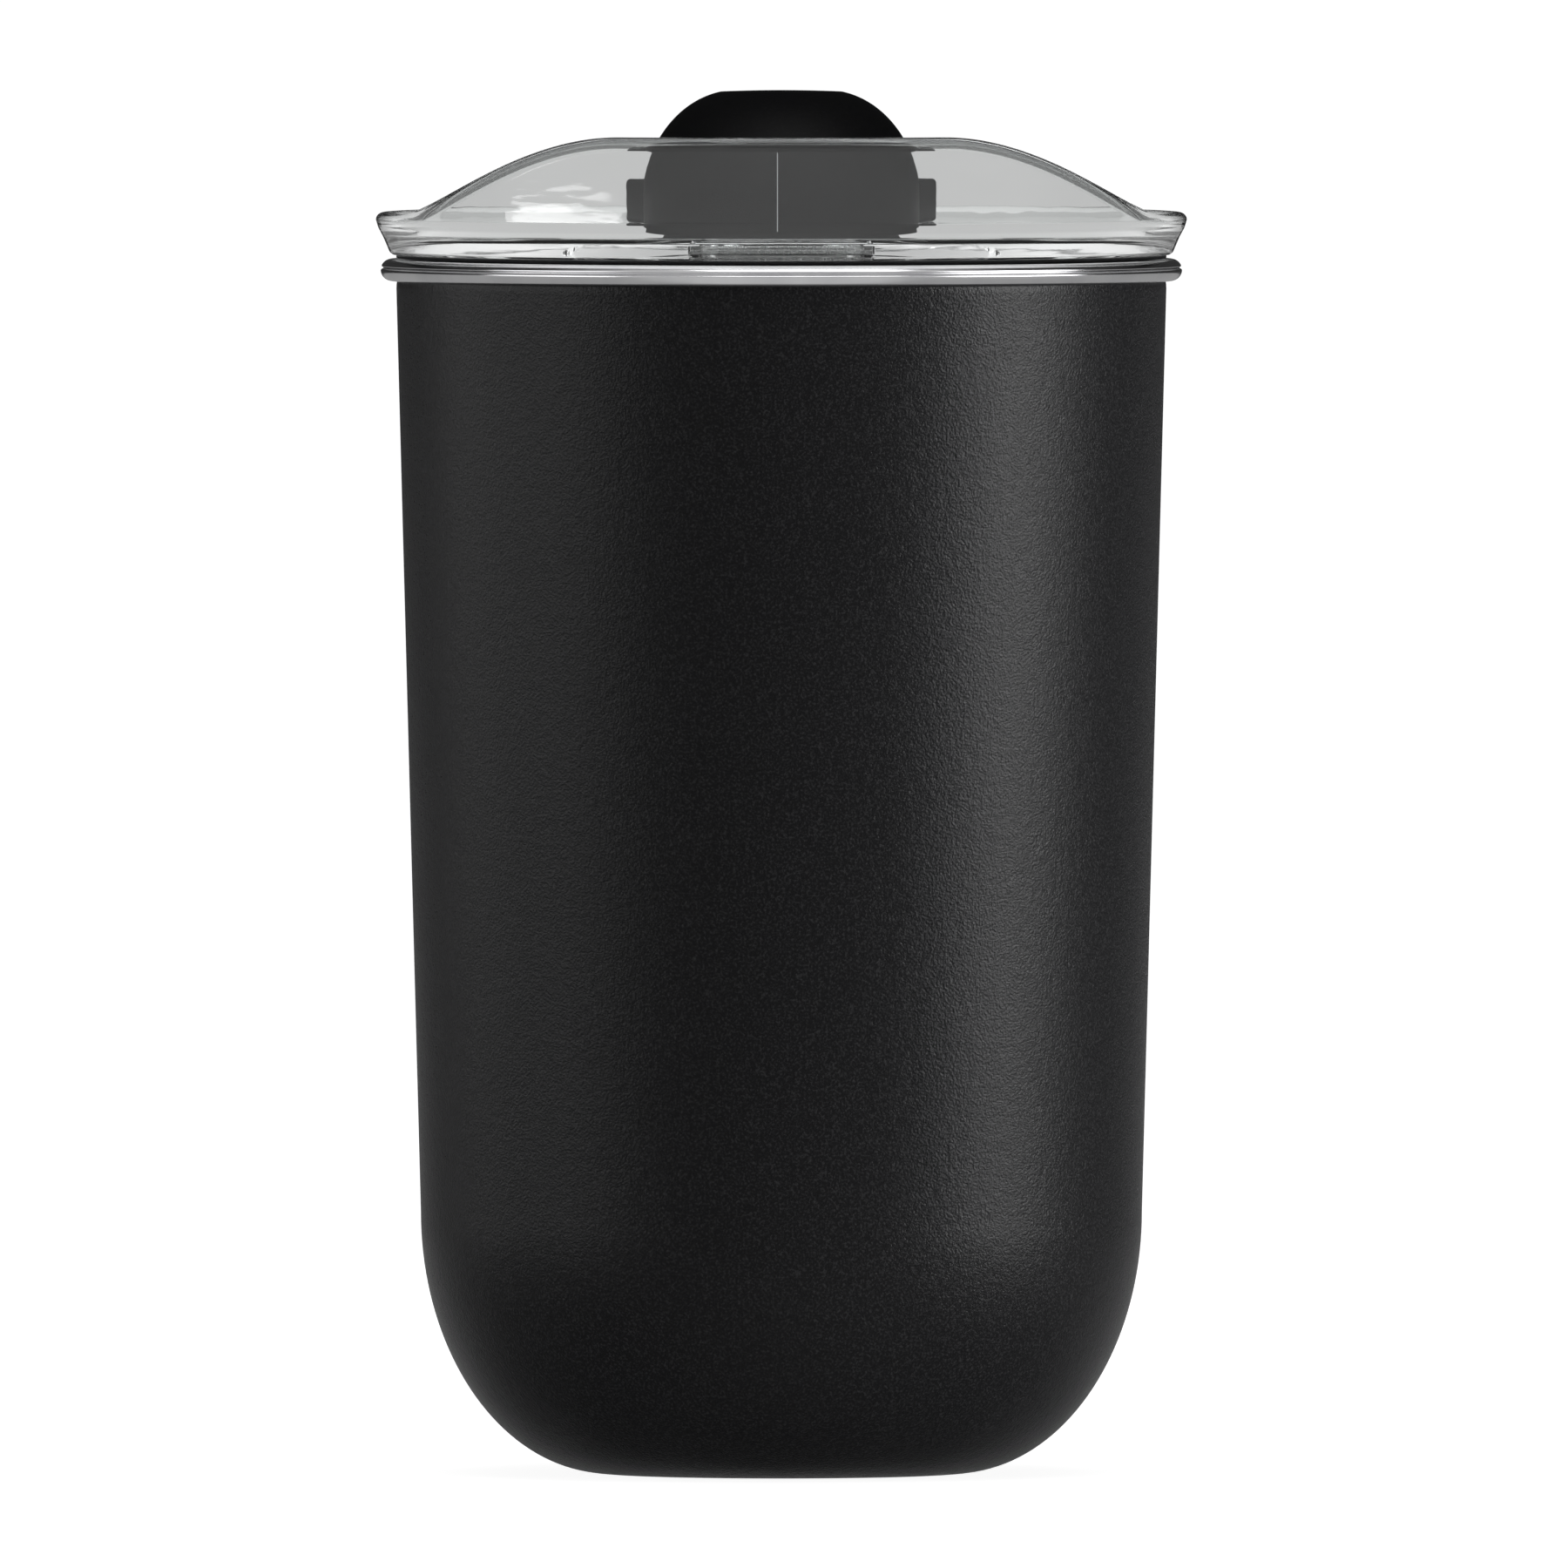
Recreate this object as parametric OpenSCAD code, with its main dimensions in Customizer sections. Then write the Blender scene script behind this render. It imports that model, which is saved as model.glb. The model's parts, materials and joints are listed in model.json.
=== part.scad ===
// Compact insulated coffee press: a double-walled steel vessel, a clear press-in lid with a
// raised drinking wall and a rotary shutter, and a plunger with a spring-edged mesh filter.
// Origin at the middle of the flat foot, +Z up, drinking side towards -Y. Millimetres.
// The plunger is modelled pressed down, the lid seated and the shutter open.

/* [Vessel] */
// Radius of the outer shell just under the rim
shell_top_r = 44.2; // [36:0.1:54]
// How much narrower the shell is where its wall meets the bottom curve
shell_taper = 2.8; // [0:0.1:5]
// Height of the vessel to the top of its rolled rim
vessel_h = 139.4; // [110:0.1:180]
// Height of the rounded bottom corner
corner_h = 30; // [15:0.5:40]
// Width of the rounded bottom corner
corner_w = 21.4; // [12:0.1:26]
// Steel thickness of the outer shell
shell_wall = 0.7; // [0.4:0.05:1.2]
// Steel thickness of the inner vessel
liner_wall = 0.6; // [0.4:0.05:1]
// Vacuum gap between the walls at their closest
vacuum_gap = 1.7; // [1:0.1:3]
// Height of the inner vessel's underside above the foot
liner_lift = 4.4; // [3:0.1:8]
// Radius of the rolled rim's round bead
bead_r = 1.25; // [0.8:0.05:1.8]
// How far the bead stands proud of the painted shell
bead_proud = 1.8; // [0.8:0.05:2.5]

/* [Mouth] */
// Depth of the wider mouth that takes the lid
mouth_depth = 12.4; // [8:0.1:20]
// Distance from the mouth's wall to the outside of the shell
mouth_inset = 2.8; // [2.2:0.1:4]
// Height of the cone between the mouth and the bore
shoulder_h = 3; // [1:0.1:6]

/* [Lid] */
// Radial gap between the lid's plug and the mouth, which the gasket fills
gasket_room = 1; // [0.7:0.05:1.6]
// Depth of the plug below the lid's flange
plug_depth = 12.4; // [8:0.1:18]
// Wall of the plug
plug_wall = 1.6; // [1:0.1:2.5]
// Height of the dish floor's top above the flange's underside
deck_h = 2.2; // [1.6:0.1:4]
// Thickness of the dish floor
floor_t = 1.1; // [0.8:0.05:1.6]
// Wall of the dish and its rim
dish_wall = 1.8; // [1.2:0.1:2.6]
// Height of the flare at the outside of the dish
flare_h = 4; // [3:0.1:6]
// How far the flare widens
flare_out = 1.95; // [1:0.05:3]
// Height of the rim at the back and sides above the flange's underside
rim_low_h = 4.85; // [4:0.05:8]
// Height of the drinking wall at the front above the flange's underside
rim_high_h = 14.1; // [8:0.1:20]
// Half angle of the drinking wall's level crest
crest_half = 24; // [10:1:40]
// Half angle at which the drinking wall has fallen to the low rim
crest_end = 73; // [55:1:85]

/* [Lid Openings] */
// Half angle of the drinking slot
slot_half = 14; // [8:0.5:16]
// Radial width of the drinking slot
slot_w = 6; // [4:0.1:8]
// Distance from the slot's middle to the shutter's outer edge
slot_inset = 7.2; // [5:0.1:9]
// Radius of the vent hole
vent_r = 1.3; // [0.8:0.1:2]
// Direction of the vent hole, from +X
vent_angle = 55; // [50:1:58]
// Width of the seal around the drinking slot
seal_w = 1; // [0.6:0.1:1.4]
// Thickness of the seal around the drinking slot
seal_t = 0.5; // [0.3:0.05:0.7]

/* [Shutter] */
// Thickness of the shutter
shutter_t = 0.85; // [0.6:0.05:1.4]
// Gap between the shutter and the dish wall at the floor
shutter_room = 2; // [0.6:0.1:3]
// Height of the shutter's grip
grip_h = 5; // [3:0.1:8]
// Radial depth of the shutter's grip
grip_d = 7.5; // [4:0.1:9]
// Distance from the grip to the shutter's outer edge
grip_inset = 1.7; // [1:0.1:3]
// Half angle of the grip
grip_half = 27.5; // [15:0.5:32]
// Radius of the two pegs that hold the grip
peg_r = 1.4; // [0.8:0.1:2]

/* [Knob] */
// Radius of the knob
knob_r = 15.85; // [12:0.05:19.5]
// Height of the knob
knob_h = 16.45; // [14:0.05:20]
// Height at which the knob's side starts to curve inward
knob_side_h = 4.7; // [3:0.1:6]
// Radius of the knob's flat top
knob_top_r = 7; // [4:0.1:9]
// Radius of the threaded insert in the knob
insert_r = 5.5; // [4:0.1:7]
// Height of the threaded insert
insert_h = 8.7; // [6:0.1:9.5]
// Radius of the bumper under the knob
bumper_r = 9; // [7:0.1:11]
// Thickness of the bumper
bumper_t = 1.1; // [0.8:0.1:2]

/* [Rod And Guide] */
// Radius of the plunger rod
rod_r = 2.1; // [1.5:0.05:3]
// Outer radius of the guide bush
guide_r = 5; // [4.6:0.1:5.4]
// Length of the boss that holds the guide, below the dish floor
boss_h = 10; // [6:0.1:12]
// Wall of the boss
boss_wall = 1.2; // [0.8:0.1:2]
// Number of ribs around the boss
rib_count = 6; // [3:1:8]
// Outer radius of the ribs
rib_r = 8.8; // [7.8:0.1:12]
// Thickness of a rib
rib_t = 2; // [1:0.1:3]
// Thickness of the rod seal's round section
seal_ring_d = 1.7; // [1.2:0.1:1.8]

/* [Filter] */
// Height of the filter's underside above the foot when pressed down
filter_z = 29; // [28:0.5:45]
// Thickness of the cross plate and the pressure plate
plate_t = 0.8; // [0.5:0.05:1.2]
// Distance from the cross plate's edge to the bore
cross_inset = 2.9; // [2:0.1:5]
// Thickness of the mesh screen
mesh_t = 0.3; // [0.2:0.05:0.5]
// Height of the mesh screen's turned-up edge
mesh_h = 3.8; // [2:0.1:6]
// Thickness of the spring around the filter's edge
spring_d = 3.6; // [2.4:0.1:4.4]
// Radius of the holes in the pressure plate
hole_r = 1.6; // [1:0.1:1.8]
// Radius of the collar above the filter
collar_r = 5; // [4.2:0.1:6.5]
// Height of the collar
collar_h = 7; // [4:0.1:10]
// Height of the nut under the filter
nut_h = 4; // [3:0.1:5]

/* [Clearances] */
// Radial clearance of the rod in its guide
rod_gap = 0.05; // [0.03:0.01:0.1]
// Gap of the gasket's lips to the mouth
lip_gap = 0.2; // [0.1:0.05:0.3]
// Gap of the filter's edge to the bore
filter_gap = 0.25; // [0.15:0.05:0.4]
// Gap under pieces that rest on a neighbour that moves
rest_gap = 0.1; // [0.05:0.01:0.2]
// Gap around the knob and the shutter's hub
hub_gap = 0.35; // [0.2:0.05:0.5]
// Gap around the shutter on its hub and over the floor
slip_gap = 0.05; // [0.03:0.01:0.1]

/* [Hidden] */
$fn = 96;
curve_steps = 12;

// Vessel
shell_low_r = shell_top_r - shell_taper;
foot_r = shell_low_r - corner_w;
foot_w = 2.5;
foot_hole_r = foot_r - foot_w;
disc_lap = 0.2;
base_r = foot_r - disc_lap;
dimple_r = 4;
dimple_h = 1.2;
solder_r = 1.2;
bore_r = shell_low_r - shell_wall - vacuum_gap - liner_wall;
bore_corner_w = 20;
bore_corner_h = 24;
bead_z = vessel_h - bead_r;
bead_mid_r = shell_top_r + bead_proud - bead_r;
rim_web = 0.9;
shell_top_z = vessel_h - 2 * bead_r + 0.1;
mouth_r = shell_top_r - mouth_inset;
mouth_z = vessel_h - mouth_depth;
getter_r = 5;
getter_t = 1;

// Lid
gasket_t = 0.4;
flange_z = vessel_h + rest_gap + gasket_t;
floor_z = flange_z + deck_h;
floor_under_z = floor_z - floor_t;
plug_r = mouth_r - gasket_room;
plug_in_r = plug_r - plug_wall;
plug_z = flange_z - plug_depth;
ledge = 0.5;
ledge_z = plug_z + 1.8;
ledge_h = 1;
lid_base_r = shell_top_r + 0.4;
lid_rim_r = lid_base_r + flare_out;
dish_r = lid_rim_r - dish_wall - 1.55;
dish_z = floor_z + 0.4;
boss_r = guide_r + boss_wall;
boss_z = floor_under_z - boss_h;
rib_h = boss_h - 3;
rib_turn = 6;

// Shutter and its hub
hub_in_r = knob_r + hub_gap;
hub_wall = 0.8;
hub_out_r = hub_in_r + hub_wall;
hook_out = 0.7;
hook_t = 0.45;
hook_span = 30;
shutter_z = floor_z + slip_gap;
shutter_top_z = shutter_z + shutter_t;
shutter_in_r = hub_out_r + slip_gap;
shutter_r = dish_r - shutter_room;
slot_mid_r = shutter_r - slot_inset;
slot_in_r = slot_mid_r - slot_w / 2;
slot_out_r = slot_mid_r + slot_w / 2;
grip_out_r = shutter_r - grip_inset;
grip_in_r = grip_out_r - grip_d;
grip_mid_r = (grip_in_r + grip_out_r) / 2;
grip_bevel = 0.8;
peg_turn = 16;

// Guide
guide_lip = 1.4;
guide_lip_t = 1.2;
seal_ring_r = rod_r + rod_gap + seal_ring_d / 2;
seal_z = boss_z + 3;

// Knob, with the handles of its side curve
knob_z = floor_z + 2 * rest_gap;
knob_chamfer = 0.85;
knob_chamfer_h = 1.3;
knob_crown = 0.15;
knob_side_pull = 4.5;
knob_top_pull = [5.6, 1.2];
bumper_z = floor_z + rest_gap;
insert_z = bumper_z + bumper_t;
rod_top_z = insert_z + insert_h - 2;

// Filter stack, from the nut up
nut_z = filter_z - nut_h;
rod_low_z = nut_z + 0.6;
mesh_z = filter_z + plate_t;
mesh_r = bore_r - filter_gap;
plate_z = mesh_z + mesh_t;
spring_r = spring_d / 2;
spring_mid_r = mesh_r - mesh_t - 0.05 - spring_r;
plate_r = spring_mid_r - spring_r;
plate_lip = 0.8;
plate_lip_h = 1.6;
collar_z = plate_z + plate_t;
cross_r = bore_r - cross_inset;
cross_rim = 2.6;
cross_hub_r = 8;
spoke_count = 6;
spoke_w = 3;
hole_step = 5.2;

// ---- Shared outlines

// Points along part of an ellipse about c, from angle a to angle b
function arc(c, rx, rz, a, b) =
    [for (i = [0:curve_steps]) let (t = a + (b - a) * i / curve_steps)
        [c[0] + rx * cos(t), c[1] + rz * sin(t)]];

// A point on a cubic curve with two handles
function cubic(p, t) =
    pow(1 - t, 3) * p[0] + 3 * pow(1 - t, 2) * t * p[1] + 3 * (1 - t) * t * t * p[2] + pow(t, 3) * p[3];

// Smooth step from 0 to 1
function ease(t) = let (u = max(0, min(1, t))) u * u * (3 - 2 * u);

// Height of the lid's rim at angle a from the front
function rim_z(a) = flange_z + rim_high_h
    - (rim_high_h - rim_low_h) * ease((abs(a) - crest_half) / (crest_end - crest_half));

// Flat sector of a ring, centred on the direction mid
module sector(in_r, out_r, half, mid) {
    reach = 2 * out_r;
    intersection() {
        difference() {
            circle(out_r);
            circle(in_r);
        }
        rotate(mid)
            polygon([[0, 0], [reach * cos(half), -reach * sin(half)], [reach, 0],
                [reach * cos(half), reach * sin(half)]]);
    }
}

// The drinking slot's outline, grown by a margin, in the front
module slot_outline(margin) {
    sector(slot_in_r - margin, slot_out_r + margin, slot_half + margin / slot_mid_r * 57.3, -90);
}

// A round hole or pin at radius r in direction a
module at_polar(r, a) {
    rotate(a) translate([r, 0, 0]) children();
}

// ---- Vessel

module outer_shell() {
    inner = shell_wall;
    color("#1a1a1a") rotate_extrude()
        polygon(concat(
            [[foot_hole_r, 0]],
            arc([foot_r, corner_h], corner_w, corner_h, -90, 0),
            [[shell_top_r, shell_top_z], [shell_top_r - inner, shell_top_z]],
            arc([foot_r, corner_h], corner_w - inner, corner_h - inner, 0, -90),
            [[foot_hole_r, inner]]));
}

module base_disc() {
    top = 2 * shell_wall;
    color("#8c8f92") difference() {
        union() {
            translate([0, 0, shell_wall]) cylinder(h = shell_wall, r = base_r);
            cylinder_ring(dimple_r + shell_wall, 0, shell_wall, top + dimple_h);
        }
        translate([0, 0, -1]) cylinder(h = 1 + shell_wall + dimple_h, r = dimple_r);
        cylinder(h = top + dimple_h + 1, r = solder_r);
    }
}

// Ring between two radii and two heights
module cylinder_ring(out_r, in_r, low, high) {
    difference() {
        translate([0, 0, low]) cylinder(h = high - low, r = out_r);
        if (in_r > 0)
            translate([0, 0, low - 1]) cylinder(h = high - low + 2, r = in_r);
    }
}

module vent_solder() {
    color("#b0a890") translate([0, 0, shell_wall + dimple_h])
        cylinder(h = shell_wall, r = solder_r);
}

module vacuum_getter() {
    color("#6a6a66") at_polar(bore_corner_w / 2 + getter_r, 0)
        translate([0, 0, liner_lift - getter_t])
            cylinder(h = getter_t, r = getter_r - 1);
}

module inner_vessel() {
    flat_r = bore_r - bore_corner_w;
    out_r = bore_r + liner_wall;
    corner_z = liner_lift + bore_corner_h;
    color("#c9cbcc") rotate_extrude() {
        polygon(concat(
            [[0, liner_lift]],
            arc([flat_r, corner_z], bore_corner_w + liner_wall, bore_corner_h, -90, 0),
            [[out_r, mouth_z - shoulder_h], [mouth_r + liner_wall, mouth_z],
                [mouth_r + liner_wall, vessel_h - rim_web],
                [bead_mid_r, vessel_h - rim_web], [bead_mid_r, vessel_h],
                [mouth_r + 0.4, vessel_h], [mouth_r, vessel_h - 0.4],
                [mouth_r, mouth_z], [bore_r, mouth_z - shoulder_h]],
            arc([flat_r, corner_z], bore_corner_w, bore_corner_h - liner_wall, 0, -90),
            [[0, liner_lift + liner_wall]]));
        translate([bead_mid_r, bead_z]) circle(bead_r);
        translate([shell_top_r - shell_wall, shell_top_z])
            square([bead_mid_r - bead_r / 3 - shell_top_r + shell_wall, vessel_h - shell_top_z]);
    }
}

// ---- Lid

// Everything above the rim line: the drinking wall's outline in front, level behind
module above_rim() {
    wide = 2 * lid_rim_r;
    high = rim_high_h + 10;
    step = 5;
    rotate([90, 0, 0]) linear_extrude(height = wide)
        polygon(concat(
            [for (a = [-90:step:90]) [1.02 * lid_rim_r * sin(a), rim_z(a)]],
            [[1.02 * lid_rim_r, flange_z + high], [-1.02 * lid_rim_r, flange_z + high]]));
    translate([-wide / 2, 0, flange_z + rim_low_h]) cube([wide, wide, high]);
}

module lid_outline() {
    rim_top = flange_z + rim_high_h;
    in_r = lid_rim_r - dish_wall;
    polygon([
        [plug_in_r, plug_z], [plug_r - 0.6, plug_z], [plug_r, plug_z + 0.6],
        [plug_r, ledge_z], [plug_r + ledge, ledge_z], [plug_r + ledge, ledge_z + ledge_h],
        [plug_r, ledge_z + ledge_h], [plug_r, flange_z], [lid_base_r, flange_z],
        [lid_base_r + 0.2 * flare_out, flange_z + 0.08 * flare_h],
        [lid_base_r + 0.56 * flare_out, flange_z + 0.5 * flare_h],
        [lid_base_r + 0.87 * flare_out, flange_z + 0.78 * flare_h],
        [lid_rim_r, flange_z + flare_h], [lid_rim_r, rim_top], [in_r, rim_top],
        [in_r, dish_z], [dish_r, floor_z], [guide_r, floor_z], [guide_r, floor_under_z],
        [plug_in_r, floor_under_z]]);
}

// The round hub that the shutter turns on, with hooks over the shutter's inner edge
module shutter_hub() {
    ring_top = shutter_top_z + slip_gap;
    cylinder_ring(hub_out_r, hub_in_r, floor_z - floor_t / 2, ring_top + hook_t);
    for (a = [30, 150, 270])
        rotate(a - hook_span / 2) rotate_extrude(angle = hook_span)
            translate([hub_in_r + hub_wall / 2, ring_top]) square([hub_wall / 2 + hook_out, hook_t]);
}

module lid_body() {
    color("#dfe6ea", 0.4) difference() {
        union() {
            rotate_extrude() lid_outline();
            shutter_hub();
            cylinder_ring(boss_r, guide_r, boss_z, floor_z - floor_t / 2);
            for (i = [0:rib_count - 1])
                rotate(-90 + rib_turn + i * 360 / rib_count)
                    translate([boss_r - boss_wall / 2, -rib_t / 2, floor_under_z - rib_h])
                        cube([rib_r - boss_r + boss_wall / 2, rib_t, rib_h + floor_t / 2]);
        }
        above_rim();
        translate([0, 0, floor_under_z - 1]) linear_extrude(height = floor_t + 2) slot_outline(0);
        translate([0, 0, floor_z - seal_t]) linear_extrude(height = 2 * seal_t) slot_outline(seal_w);
        at_polar(slot_mid_r, vent_angle) translate([0, 0, floor_under_z - 1])
            cylinder(h = floor_t + 2, r = vent_r);
    }
}

module lid_gasket() {
    low = ledge_z + ledge_h;
    high = flange_z - gasket_t;
    lip_r = mouth_r - lip_gap;
    lips = 3;
    color("#111111") rotate_extrude() {
        translate([plug_r, low]) square([ledge, high - low + gasket_t]);
        translate([plug_r, high]) square([shell_top_r - plug_r, gasket_t]);
        for (i = [1:lips]) {
            z = low + (high - low) * (i - 0.3) / lips;
            polygon([[plug_r + ledge / 2, z - 1.6], [lip_r, z], [lip_r, z + 0.3],
                [plug_r + ledge / 2, z + 0.3]]);
        }
    }
}

module slot_seal() {
    color("#c9cccc", 0.6) translate([0, 0, floor_z - seal_t]) linear_extrude(height = seal_t)
        difference() {
            slot_outline(seal_w);
            slot_outline(0);
        }
}

module rod_guide() {
    color("#161616") difference() {
        union() {
            translate([0, 0, boss_z]) cylinder(h = floor_z - boss_z, r = guide_r);
            translate([0, 0, boss_z - guide_lip_t]) cylinder(h = guide_lip_t, r = guide_r + guide_lip);
        }
        translate([0, 0, boss_z - guide_lip_t - 1])
            cylinder(h = floor_z - boss_z + guide_lip_t + 2, r = rod_r + rod_gap);
        cylinder_ring(rod_r + rod_gap + seal_ring_d, 0, seal_z - seal_ring_d / 2, seal_z + seal_ring_d / 2);
    }
}

module rod_seal() {
    color("#2b2b2b") translate([0, 0, seal_z]) rotate_extrude()
        translate([seal_ring_r, 0]) circle(d = seal_ring_d);
}

// ---- Shutter

module shutter_disc() {
    color("#e6edf0", 0.4) translate([0, 0, shutter_z]) difference() {
        linear_extrude(height = shutter_t) difference() {
            circle(shutter_r);
            circle(shutter_in_r);
            slot_outline(0);
        }
        at_polar(slot_mid_r, vent_angle) translate([0, 0, -1])
            cylinder(h = shutter_t + 2, r = vent_r);
        for (a = [90 - peg_turn, 90 + peg_turn])
            at_polar(grip_mid_r, a) translate([0, 0, -1]) cylinder(h = shutter_t + 2, r = peg_r);
    }
}

module shutter_grip() {
    body_h = grip_h - grip_bevel;
    color("#161616") {
        translate([0, 0, shutter_top_z]) linear_extrude(height = body_h)
            sector(grip_in_r, grip_out_r, grip_half, 90);
        translate([0, 0, shutter_top_z + body_h]) linear_extrude(height = grip_bevel)
            sector(grip_in_r + grip_bevel, grip_out_r - grip_bevel, grip_half - 1.2, 90);
        for (a = [90 - peg_turn, 90 + peg_turn])
            at_polar(grip_mid_r, a) translate([0, 0, shutter_z]) cylinder(h = shutter_t, r = peg_r);
    }
}

// ---- Plunger

module knob_cap() {
    top = knob_z + knob_h;
    side = [[knob_r, knob_z + knob_side_h], [knob_r, knob_z + knob_side_h + knob_side_pull],
        [knob_top_r + knob_top_pull[0], top - knob_crown - knob_top_pull[1]],
        [knob_top_r, top - knob_crown]];
    color("#161616") difference() {
        rotate_extrude()
            polygon(concat(
                [[0, knob_z], [knob_r - knob_chamfer, knob_z], [knob_r, knob_z + knob_chamfer_h]],
                [for (i = [0:curve_steps]) cubic(side, i / curve_steps)],
                [[0, top]]));
        translate([0, 0, knob_z - 1]) cylinder(h = insert_z - knob_z + 1, r = bumper_r);
        translate([0, 0, knob_z - 1]) cylinder(h = insert_z + insert_h - knob_z + 1, r = insert_r);
    }
}

module knob_insert() {
    color("#c2a35a")
        difference() {
            translate([0, 0, insert_z]) cylinder(h = insert_h, r = insert_r);
            translate([0, 0, insert_z - 1]) cylinder(h = rod_top_z - insert_z + 1, r = rod_r);
        }
}

module knob_bumper() {
    color("#2b2b2b") cylinder_ring(bumper_r, rod_r, bumper_z, insert_z);
}

module plunger_rod() {
    color("#cfd2d4") translate([0, 0, rod_low_z]) cylinder(h = rod_top_z - rod_low_z, r = rod_r);
}

module filter_collar() {
    color("#c4c7c9") cylinder_ring(collar_r, rod_r, collar_z, collar_z + collar_h);
}

module pressure_plate() {
    rings = floor((plate_r - plate_lip - hole_r - collar_r) / hole_step);
    color("#c4c7c9") difference() {
        union() {
            translate([0, 0, plate_z]) cylinder(h = plate_t, r = plate_r);
            cylinder_ring(plate_r, plate_r - plate_lip, plate_z, plate_z + plate_lip_h);
        }
        translate([0, 0, plate_z - 1]) cylinder(h = plate_t + 2, r = rod_r);
        for (k = [1:rings])
            for (i = [0:6 * k - 1])
                at_polar(collar_r + k * hole_step - hole_r / 2, (i + k / 2) * 60 / k)
                    translate([0, 0, plate_z - 1]) cylinder(h = plate_t + 2, r = hole_r);
    }
}

module edge_spring() {
    color("#b8bbbd") translate([0, 0, plate_z + spring_r]) rotate_extrude()
        translate([spring_mid_r, 0]) circle(spring_r);
}

module mesh_screen() {
    color("#9da0a2") difference() {
        union() {
            translate([0, 0, mesh_z]) cylinder(h = mesh_t, r = mesh_r);
            cylinder_ring(mesh_r, mesh_r - mesh_t, mesh_z, mesh_z + mesh_h);
        }
        translate([0, 0, mesh_z - 1]) cylinder(h = mesh_t + 2, r = rod_r);
    }
}

module cross_plate() {
    color("#c4c7c9") difference() {
        translate([0, 0, filter_z]) cylinder(h = plate_t, r = cross_r);
        translate([0, 0, filter_z - 1]) cylinder(h = plate_t + 2, r = rod_r);
        translate([0, 0, filter_z - 1]) linear_extrude(height = plate_t + 2) difference() {
            circle(cross_r - cross_rim);
            circle(cross_hub_r);
            for (i = [0:spoke_count - 1])
                rotate(i * 360 / spoke_count) translate([0, -spoke_w / 2])
                    square([cross_r, spoke_w]);
        }
    }
}

module hub_nut() {
    color("#c4c7c9") difference() {
        translate([0, 0, nut_z]) cylinder(h = nut_h, r = collar_r, $fn = 6);
        translate([0, 0, rod_low_z]) cylinder(h = nut_h, r = rod_r);
    }
}

outer_shell();
base_disc();
vent_solder();
vacuum_getter();
inner_vessel();
lid_body();
lid_gasket();
slot_seal();
rod_guide();
rod_seal();
shutter_disc();
shutter_grip();
knob_cap();
knob_insert();
knob_bumper();
plunger_rod();
filter_collar();
pressure_plate();
edge_spring();
mesh_screen();
cross_plate();
hub_nut();
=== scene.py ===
import json
import math
import bmesh
import bpy
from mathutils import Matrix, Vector


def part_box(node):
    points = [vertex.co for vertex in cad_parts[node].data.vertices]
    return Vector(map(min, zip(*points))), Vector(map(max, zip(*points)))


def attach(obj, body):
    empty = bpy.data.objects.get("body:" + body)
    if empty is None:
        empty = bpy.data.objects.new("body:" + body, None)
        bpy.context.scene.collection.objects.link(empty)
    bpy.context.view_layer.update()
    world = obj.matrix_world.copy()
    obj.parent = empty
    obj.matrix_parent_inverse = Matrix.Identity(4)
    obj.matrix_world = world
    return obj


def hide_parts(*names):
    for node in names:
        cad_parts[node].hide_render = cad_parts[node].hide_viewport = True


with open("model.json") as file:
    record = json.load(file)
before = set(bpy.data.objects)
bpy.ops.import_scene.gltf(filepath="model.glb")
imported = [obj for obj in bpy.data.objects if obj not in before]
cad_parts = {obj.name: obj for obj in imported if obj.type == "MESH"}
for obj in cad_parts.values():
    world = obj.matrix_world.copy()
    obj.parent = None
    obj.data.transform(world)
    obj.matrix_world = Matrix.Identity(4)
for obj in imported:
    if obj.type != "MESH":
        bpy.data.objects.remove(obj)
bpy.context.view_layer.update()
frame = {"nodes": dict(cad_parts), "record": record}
mm = 0.001
sharpAngle = 31  # degrees between faces, above which an edge stays sharp
bevelAngle = 35  # and above which it is bevelled
skinGap = 0.02  # mm that a shown piece keeps from its neighbour on the same body
print("frame loaded:", len(frame["nodes"]), "nodes")


def place(node):  # radius, underside and top of a round CAD node, in mm
    low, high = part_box(node)
    return {"r": high[0] / mm, "low": low[2] / mm, "high": high[2] / mm}


# ---- outlines and meshes

def arc(centre, rx, rz, start, end, steps):  # part of an ellipse, angles in degrees
    turns = [math.radians(start + (end - start) * k / steps) for k in range(steps + 1)]
    return [(centre[0] + rx * math.cos(t), centre[1] + rz * math.sin(t)) for t in turns]


def cubic(points, t):
    weights = ((1 - t) ** 3, 3 * (1 - t) ** 2 * t, 3 * (1 - t) * t * t, t ** 3)
    return tuple(sum(w * p[k] for w, p in zip(weights, points)) for k in range(2))


def ease(t):
    t = max(0.0, min(1.0, t))
    return t * t * (3 - 2 * t)


def fillet(corners, steps=5):  # rounds an outline's corners, each (r, z) or (r, z, radius)
    rounded = []
    for i, corner in enumerate(corners):
        here = Vector(corner[:2])
        back = Vector(corners[i - 1][:2]) - here
        ahead = Vector(corners[(i + 1) % len(corners)][:2]) - here
        if len(corner) < 3:
            rounded.append(tuple(here))
            continue
        half = back.angle(ahead) / 2
        cut = min(corner[2] / math.tan(half), 0.49 * min(back.length, ahead.length))
        start, end = here + back.normalized() * cut, here + ahead.normalized() * cut
        centre = here + (back.normalized() + ahead.normalized()).normalized() * cut / math.cos(half)
        first, last = start - centre, end - centre
        sweep = first.angle(last)
        for k in range(steps + 1):
            t = k / steps
            mix = first * math.sin((1 - t) * sweep) + last * math.sin(t * sweep)
            rounded.append(tuple(centre + mix / math.sin(sweep)))
    return rounded


def smooth(piece, angle=sharpAngle):
    piece.data.shade_smooth()
    piece.data.set_sharp_from_angle(angle=math.radians(angle))
    return piece


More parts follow.
